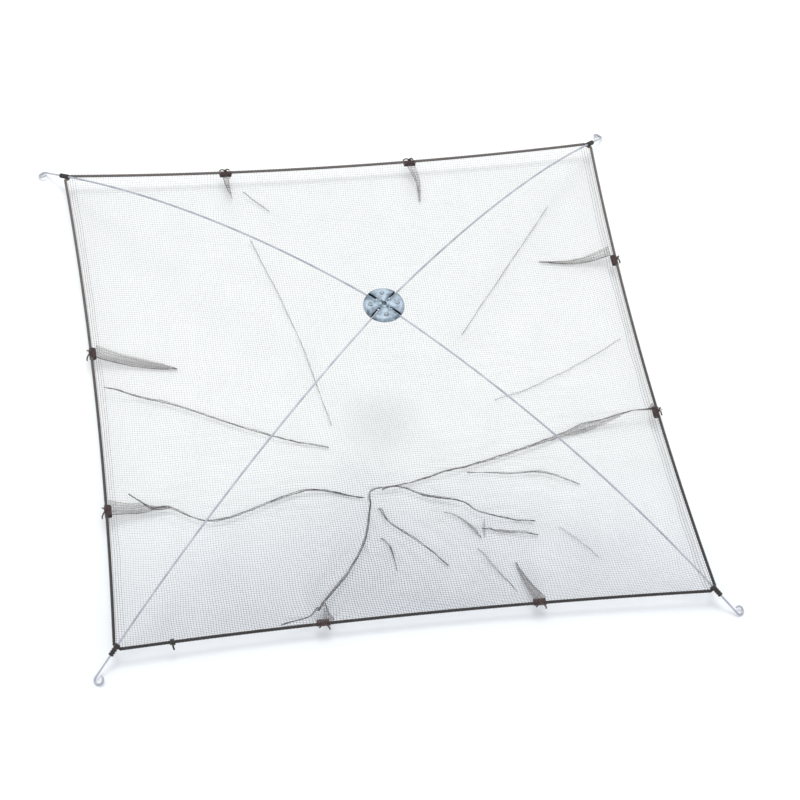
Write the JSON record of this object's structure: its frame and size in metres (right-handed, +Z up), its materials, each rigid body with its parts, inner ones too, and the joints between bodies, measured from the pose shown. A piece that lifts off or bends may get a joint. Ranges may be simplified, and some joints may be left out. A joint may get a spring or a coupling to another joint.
{
  "type": "folding crab trap",
  "caption": "Square folding lift net for crabs: sheet-metal hub, bowed spring-wire arms that fold upward, knotless net with tied gathers.",
  "frame": {"origin": "on the floor under the hub, at the bottom centre of the bounding box", "axes": "+Z up along the hub axis, +X right and +Y away along the net's sides, arms on the diagonals"},
  "size_m": [0.9988, 0.9988, 0.21],
  "materials": {
    "zinc_sheet": "zinc plated, satin",
    "eyelet_zinc": "zinc plated, rolled",
    "rivet_zinc": "zinc plated",
    "arm_wire": "zinc plated spring wire",
    "lashing_cord": "tarred cord",
    "net_twine": "knotless twine mesh",
    "border_cord": "tarred twisted cord",
    "tie_twine": "tarred twine"
  },
  "bodies": {
    "hub": {"hub_top_disc": "zinc_sheet", "hub_bottom_disc": "zinc_sheet", "centre_eyelet": "eyelet_zinc", "hub_rivets": "rivet_zinc", "pivot_pins": "rivet_zinc", "net": "net_twine", "border_cord_front": "border_cord", "border_cord_right": "border_cord", "border_cord_back": "border_cord", "border_cord_left": "border_cord", "gather_ties_front": "tie_twine", "gather_ties_right": "tie_twine", "gather_ties_back": "tie_twine", "gather_ties_left": "tie_twine", "border_knot": "border_cord"},
    "arm_back_right": {"arm_back_right": "arm_wire", "corner_lashing_back_right": "lashing_cord"},
    "arm_back_left": {"arm_back_left": "arm_wire", "corner_lashing_back_left": "lashing_cord"},
    "arm_front_left": {"arm_front_left": "arm_wire", "corner_lashing_front_left": "lashing_cord"},
    "arm_front_right": {"arm_front_right": "arm_wire", "corner_lashing_front_right": "lashing_cord"}
  },
  "joints": [
    {"name": "fold_back_right", "type": "hinge", "parent": "hub", "child": "arm_back_right", "pos_m": [0.0099, 0.0099, 0.204], "axis": [0.7071, -0.7071, 0], "range_deg": [0, 90]},
    {"name": "fold_back_left", "type": "hinge", "parent": "hub", "child": "arm_back_left", "pos_m": [-0.0099, 0.0099, 0.204], "axis": [0.7071, 0.7071, 0], "range_deg": [0, 90]},
    {"name": "fold_front_left", "type": "hinge", "parent": "hub", "child": "arm_front_left", "pos_m": [-0.0099, -0.0099, 0.204], "axis": [-0.7071, 0.7071, 0], "range_deg": [0, 90]},
    {"name": "fold_front_right", "type": "hinge", "parent": "hub", "child": "arm_front_right", "pos_m": [0.0099, -0.0099, 0.204], "axis": [-0.7071, -0.7071, 0], "range_deg": [0, 90]}
  ]
}
